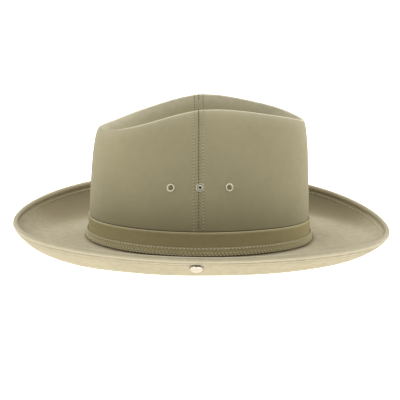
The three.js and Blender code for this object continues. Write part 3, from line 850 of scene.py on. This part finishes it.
def stitch_places(path, normal, closed, pitch, shift):
    """Evenly spaced places along a path, with the path's direction and the cloth's normal.
    shift is where in each pitch the place lies, from 0 to 1."""
    if closed:
        path = np.concatenate([path, path[:1]])
        normal = np.concatenate([normal, normal[:1]])
    run = run_down(path)
    count = int(run[-1] / pitch)
    at = (np.arange(count) + shift) * run[-1] / count

    def along(places, values):
        return np.stack([np.interp(places, run, values[:, i]) for i in range(3)], -1)
    place, up = along(at, path), along(at, normal)
    forward = unit(along(at + LOOK_AHEAD, path) - along(at - LOOK_AHEAD, path))
    return place, forward, unit(up - forward * (up * forward).sum(-1, keepdims=True))


def stitch_piece(name, runs, length, width, lift, material, pitch, shift):
    """All the stitches of some rows as one mesh: the stitch shape set at every place, with a
    small seeded change of direction and place from stitch to stitch. Each row starts a
    little further on than the one before."""
    shape, faces = stitch_shape(length, width)
    chance = np.random.default_rng(STITCH_SEED)
    places = [stitch_places(path, normal, closed, pitch, (shift + ROW_SHIFT * row) % 1)
              for row, (path, normal, closed) in enumerate(runs)]
    place, forward, up = (np.concatenate(parts) for parts in zip(*places))
    side = np.cross(up, forward)
    forward = unit(forward + side * chance.normal(0, TURN_SPREAD, (len(side), 1)))
    side = np.cross(up, forward)
    place = place + up * (lift + chance.normal(0, HEIGHT_SPREAD, (len(side), 1)))
    place = place + forward * chance.normal(0, PLACE_SPREAD * pitch, (len(side), 1))
    axes = np.stack([forward, side, up], -2)
    points = place[:, None, :] + np.einsum("vk,nkd->nvd", shape, axes)
    offsets = np.arange(len(place))[:, None, None] * len(shape)
    faces = (faces[None] + offsets).reshape(-1, 4)
    make_piece(name, points, faces, points[..., :2], 0 * points[..., 0], material)


def crown_row(offset, side, rows_past_ridge=DENT_ROWS):
    """A line over the crown at a distance from the side seam, with the cloth's normals, from
    the band's top over the ridge and across the dent's side, or only a few rows of it."""
    turn = crown_turns(math.pi / 2 + np.array([[-0.003, 0, 0.003]]))
    for _ in range(ROW_PASSES):
        turn = turn + (crown_surface(turn)[:, 1:2, 0] - SEAM_X - offset) / RIDGE_LENGTH
    points, normal, _ = crown_cloth_faces(turn, closed=False)
    points, normal = points[:, 1], normal[:, 1]
    level = foot_height(math.pi / 2) + BAND_HEIGHT + ROW_ABOVE_BAND
    shown = (points[:, 2] > level) & (np.arange(CROWN_ROWS) < WALL_ROWS + rows_past_ridge)
    flip = np.array([1, side, 1])
    return points[shown] * flip, normal[shown] * flip, False


def ribbon_row(height, off):
    """A stitch line round the strip at one height, lifted where the strip laps over itself."""
    turn = ring_turns(RIBBON_COLUMNS)
    points, outward = wall_ring(turn, height + 0 * turn, off + 0 * turn)
    return points + outward * strip_lap(points)[:, None], outward, True


def hem_row(depth, outwards):
    """A stitch line round the hem, on the brim's upper or under face."""
    turn = ring_turns(RIBBON_COLUMNS)
    step = step_before_edge(turn, BEAD_RADIUS + GAP + HEM_WIDTH)
    points = brim_surface(turn, step, depth + 0 * turn)
    above = brim_surface(turn, step, depth - outwards * 0.5 + 0 * turn)
    return points, unit(above - points), True


# Hardware

HALVINGS = 40
NUDGE = 0.01
METAL_SIDES = 48
CORNER_STEPS = 4
CUTTER_SIDES, CUTTER_LENGTH = 40, 24


def seat(surface, turn, along):
    """A place on a surface with its outward normal, from small steps both ways."""
    normal = np.cross(surface(turn + NUDGE, along) - surface(turn - NUDGE, along),
                      surface(turn, along + NUDGE) - surface(turn, along - NUDGE))
    return surface(turn, along), unit(normal)


def halved(low, high, before):
    """A range halved again and again about the place up to which a test holds."""
    for _ in range(HALVINGS):
        middle = (low + high) / 2
        if before(middle):
            low = middle
        else:
            high = middle
    return low, high


def turn_at(x, point):
    """The turn whose point lies at a place along the hat."""
    low, high = halved(0.0, math.pi, lambda turn: point(turn)[0] > x)
    return (low + high) / 2


def wall_seat(x, height):
    """Hardware on the wall: its place and normal, and the cloth's thickness there."""
    def at(turn, inset):
        foot = foot_height(turn) + GAP
        rise = (height - foot) / (ridge_line(turn, inset)[2] - foot)
        return rise, crown_wall(turn, rise, inset)
    turn = turn_at(x, lambda t: at(t, 0)[1])
    rise, outer = at(turn, 0)
    place, normal = seat(lambda t, a: crown_wall(t, a, 0), turn, rise)
    return place, normal, float((outer - at(turn, CROWN_CLOTH)[1]) @ normal)


def brim_seat(x, share):
    """A snap on the brim: where its distance out is the given share of the brim's width."""
    def upper(turn, step):
        return brim_surface(turn, step, 0.0)

    def step_at(turn):
        start, outward, width, *_ = brim_line(turn)

        def inside(step):
            return (upper(turn, step)[:2] - start) @ outward < share * width
        return halved(1.0, 2.0, inside)[0]
    turn = turn_at(x, lambda turn: upper(turn, step_at(turn)))
    place, normal = seat(upper, turn, step_at(turn))
    return place, normal * np.sign(normal[2])


def smooth_profile(corners, rounding):
    """A profile with each inner corner cut by a curve: points of a quadratic curve from a
    little before the corner to a little after it."""
    corners = np.asarray(corners, float)
    before, here, after = corners[:-2], corners[1:-1], corners[2:]

    def towards(other):
        run = other - here
        length = np.linalg.norm(run, axis=-1, keepdims=True)
        return here + run * np.minimum(0.45, rounding / np.maximum(length, 1e-6))
    a, b = towards(before), towards(after)
    t = np.linspace(0, 1, CORNER_STEPS)[None, :, None]
    curve = (1 - t) ** 2 * a[:, None] + 2 * t * (1 - t) * here[:, None] + t ** 2 * b[:, None]
    return np.concatenate([corners[:1], curve.reshape(-1, corners.shape[1]), corners[-1:]])


def turned_metal(node, corners, place, normal, side, rounding, material, notch=0.0):
    """A turned piece: its profile of radius, height and painted shade spun about the seat's normal.
    A profile that keeps off the axis is closed, and makes a ring. A notch is a small dip of
    the outermost radius on the side away from the crown."""
    closed = corners[0][0] > 0
    name, slot = ("ring", "eyelet_metal") if closed else ("metal", "snap_metal")
    if closed:
        corners = corners + corners[:1]
    profile = smooth_profile(corners, rounding)
    if closed:
        profile = profile[:-1]
    angle = ring_turns(METAL_SIDES)
    across = unit(np.cross(normal, [1.0, 0.0, 0.0]))
    other = np.cross(normal, across)
    ring = np.cos(angle)[:, None] * across + np.sin(angle)[:, None] * other
    outmost = (profile[:, 0] / profile[:, 0].max()) ** 8
    away = (ring @ (across * np.sign(across[1])) > 0.995).astype(float)
    radius = profile[:, :1] * (1 - notch * outmost[:, None] * away[None])
    points = place + radius[:, :, None] * ring[None] + profile[:, 1:2, None] * normal
    points = points * np.array([1, side, 1])
    faces = grid_faces(len(profile), METAL_SIDES, ring_rows=closed, ring_columns=True)
    hollow_shade = np.repeat(profile[:, 2], METAL_SIDES)
    make_piece(f"{node}_{name}", points, faces, points[..., :2], hollow_shade, material, node)


# Each profile below is a list of corners, from the inside of the cloth outwards: radius, height
# over the cloth's outer face and painted shade, which darkens hollows, grooves and the
# metal's edge against the cloth

def eyelet_corners(cloth):
    """A ring: a washer inside, a barrel through the hole, and a rounded flange outside."""
    inside = -(cloth + 0.5)
    return [[2.5, inside - 0.4, 0], [3.3, inside - 0.4, 0], [3.3, inside, 0], [2.65, inside, 0],
            [2.65, 0.1, 0], [3.75, 0.1, 1], [3.75, 0.35, 1], [3.45, 0.45, 0.6], [3.4, 1.0, 0],
            [3.15, 1.4, 0], [2.75, 1.4, 0], [2.5, 1.0, 0.15]]


def stud_corners(cloth):
    """A stud: a washer and a post, then a dished collar and a hollow head."""
    inside = -(cloth + 0.5)
    return [[0, inside - 0.7, 0], [3.2, inside - 0.7, 0], [3.6, inside, 0], [1.5, inside, 0],
            [1.5, 0.1, 0], [3.6, 0.1, 0], [3.6, 0.5, 0], [3.1, 0.75, 0], [2.7, 0.6, 1],
            [2.3, 0.3, 1], [2.2, 1.3, 0.6], [2.3, 1.9, 0], [2.0, 2.4, 0], [1.5, 2.4, 0],
            [1.2, 1.9, 0.7], [1.0, 0.6, 1], [0, 0.5, 1]]


def snap_corners():
    """A brim snap: a domed cap below the cloth, a post, and a socket above it."""
    under = -(BRIM_CLOTH + GAP)
    return [[0, under - 2.5, 0], [2.4, under - 2.4, 0], [4.2, under - 2.1, 0],
            [5.0, under - 1.6, 0], [5.4, under - 0.9, 0.3], [5.4, under + 0.1, 1],
            [2.0, under + 0.1, 1], [2.0, 0.45, 0], [4.6, 0.45, 0], [4.6, 1.9, 0], [4.0, 2.3, 0],
            [3.0, 2.1, 0], [2.5, 1.1, 1], [0, 1.0, 1]]


def drill(piece, place, normal, radius):
    """Cuts a round hole through a cloth piece, square to the cloth, and applies the cut."""
    bpy.ops.mesh.primitive_cylinder_add(vertices=CUTTER_SIDES, radius=radius * MM,
                                        depth=CUTTER_LENGTH * MM)
    cutter = bpy.context.object
    cutter.rotation_mode = "QUATERNION"
    cutter.rotation_quaternion = Vector(normal).to_track_quat("Z", "Y")
    cutter.location = Vector(place) * MM
    cut = piece.modifiers.new("hole", "BOOLEAN")
    cut.object, cut.operation, cut.solver = cutter, "DIFFERENCE", "EXACT"
    bpy.context.view_layer.update()
    depsgraph = bpy.context.evaluated_depsgraph_get()
    result = bpy.data.meshes.new_from_object(piece.evaluated_get(depsgraph))
    piece.modifiers.clear()
    piece.data = result
    bpy.data.objects.remove(cutter)


# Making the hat

front_panel, back_panel = crown_panels()
# The number before each cloth is the painted light on its top edge: a highlight on the band, shade
# on the strip
ribbon("hat_band", BAND_HEIGHT, BAND_OFF, 0.25, 0.8, band_cloth)
ribbon("band_strip", STRIP_HEIGHT, STRIP_OFF, 0.8, -0.40, strip_cloth)
brim_piece()
bead_piece()

seam_rows = [crown_row(offset, side) for side in (1, -1)
             for offset in (-SEAM_STITCH, SEAM_STITCH)]
ditch_rows = [crown_row(0.0, side, 8) for side in (1, -1)]
strip_rows = [ribbon_row(height, STRIP_OFF + BAND_CLOTH) for height in STRIP_ROWS]
hem_rows, hem_under_rows = [hem_row(0.05, 1)], [hem_row(BRIM_CLOTH, -1)]

# Each kind of stitch: its rows, length, width and lift, its thread, slot and pitch. Dark
# pieces of painted shade for the needle holes lie at the start of each pitch; stitches, and
# the near-black pieces of painted shade in the seam's ditch, lie in the middle
for name, rows, length, width, lift, thread, slot, pitch in (
        ("crown_seam_stitches", seam_rows, 1.45, 0.85, 0.06, crown_thread, "crown", STITCH_PITCH),
        ("crown_needle_holes", seam_rows, 0.95, 0.65, -0.10, hole_shade, "crown", STITCH_PITCH),
        ("crown_seam_ditch_shade", ditch_rows, 1.30, 1.00, -0.02, ditch_shade, "crown",
         STITCH_PITCH),
        ("strip_stitches", strip_rows, 1.9, 0.8, -0.05, band_thread, "band", STRIP_PITCH),
        ("strip_needle_holes", strip_rows, 0.8, 0.6, -0.22, hole_shade, "band", STRIP_PITCH),
        ("hem_stitches", hem_rows, 1.9, 0.95, 0.05, pale_thread, "brim", HEM_PITCH),
        ("hem_needle_holes", hem_rows, 1.0, 0.7, -0.12, hole_shade, "brim", HEM_PITCH),
        ("hem_under_stitches", hem_under_rows, 2.0, 0.5, -0.1, brim_thread, "brim", HEM_PITCH)):
    shift = 0.0 if thread is hole_shade else 0.5
    stitch_piece(name, rows, length, width, lift, thread, pitch, shift)

for side_name, side in (("left", 1), ("right", -1)):
    flip = np.array([1, side, 1])
    for end_name, offset, panel in (("front", EYELET_SPACING, front_panel),
                                    ("back", -EYELET_SPACING, back_panel)):
        node = f"eyelet_{side_name}_{end_name}"
        place, normal, cloth = wall_seat(STUD_X + offset, EYELET_HEIGHT)
        drill(panel, place * flip, normal * flip, EYELET_HOLE)
        turned_metal(node, eyelet_corners(cloth), place, normal, side, 0.3, eyelet_metal)
    place, normal, cloth = wall_seat(STUD_X, STUD_HEIGHT)
    turned_metal(f"crown_stud_{side_name}", stud_corners(cloth), place, normal, side, 0.25,
                 stud_metal)
    place, normal = brim_seat(SNAP_X, SNAP_AT)
    turned_metal(f"brim_snap_{side_name}", snap_corners(), place, normal, side, 0.5, cap_metal,
                 notch=0.2)


# Floor, light and camera

# In metres. The floor lies a little below the hat, and glows less in an oval under it
FLOOR_HALF, FLOOR_DROP = 9.0, 0.0004
FLOOR_GLOW = 1.06
UNDER_HAT = (0.118, 0.100)
UNDER_HAT_TONE, FLOOR_TONE = (0.75, 0.72, 0.62), (1.0, 0.995, 0.985)
LIGHT_AIM, LIGHT_SIZE = (0, 0, 0.05), 1.2
LIGHTS = (
    ("above", (0.0, 0.0, 1.5), 11),
    ("right side", (1.6, 0.1, 0.6), 10.5),
    ("right behind", (0.95, 0.6, 1.05), 7.6),
    ("left behind", (-0.95, 0.6, 1.05), 8.6),
    ("left front", (-1.1, -0.8, 0.9), 7.8),
)
WORLD_LIGHT = 0.06
CLIP_END = 60


def floor():
    """A plain pale floor that glows evenly, as a lit white sweep does, but less and warmer
    under the hat, in an oval inside the ring on which the brim rests."""
    corners = np.array([[-1, -1, 0], [1, -1, 0], [1, 1, 0], [-1, 1, 0]]) * FLOOR_HALF
    mesh = bpy.data.meshes.new("floor")
    mesh.from_pydata(corners.tolist(), [], [(0, 1, 2, 3)])
    made = added("floor", mesh)
    made.location.z = -FLOOR_DROP
    pale = Finish("pale floor", {"Base Color": (0.9, 0.9, 0.9, 1), "Roughness": 0.9,
                                 "Emission Strength": FLOOR_GLOW})
    scaled = pale.node("ShaderNodeVectorMath", {"operation": "MULTIPLY"},
                       {0: pale.place(), 1: (1 / UNDER_HAT[0], 1 / UNDER_HAT[1], 0)})
    reach = pale.node("ShaderNodeVectorMath", {"operation": "LENGTH"}, {0: scaled}, "Value")
    outside = reach.maths("GREATER_THAN", 1.0)
    pale.join(pale.blend(outside, UNDER_HAT_TONE, FLOOR_TONE), "Emission Color")
    mesh.materials.append(pale.material)


def area_light(name, place, power):
    """A soft square light at a place, turned towards the hat's middle."""
    lamp = bpy.data.lights.new(name, "AREA")
    lamp.shape, lamp.size, lamp.energy = "SQUARE", LIGHT_SIZE, power
    made = added(name, lamp)
    made.location = place
    made.rotation_euler = (Vector(LIGHT_AIM) - Vector(place)).to_track_quat("-Z", "Y").to_euler()


def camera():
    """The photograph's camera: its focal length in pixels gives the lens."""
    down = math.radians(CAMERA_DOWN)
    lens = bpy.data.cameras.new("camera")
    lens.sensor_width, lens.lens = SENSOR, FOCAL_PIXELS / FRAME_PIXELS * SENSOR
    lens.clip_end = CLIP_END
    made = added("camera", lens)
    x, y, z = CAMERA_AIM
    made.location = (x * MM, (y - CAMERA_DISTANCE * math.cos(down)) * MM,
                     (z + CAMERA_DISTANCE * math.sin(down)) * MM)
    made.rotation_euler = (math.pi / 2 - down, 0, 0)
    bpy.context.scene.camera = made


def surroundings():
    """A faint even white light from all round, and colours shown as they are."""
    world = bpy.data.worlds.new("studio")
    world.use_nodes = True
    background = world.node_tree.nodes["Background"]
    background.inputs["Color"].default_value = (1, 1, 1, 1)
    background.inputs["Strength"].default_value = WORLD_LIGHT
    bpy.context.scene.world = world
    bpy.context.scene.view_settings.view_transform = "Standard"


surroundings()
floor()
for name, place, power in LIGHTS:
    area_light(name, place, power)
camera()
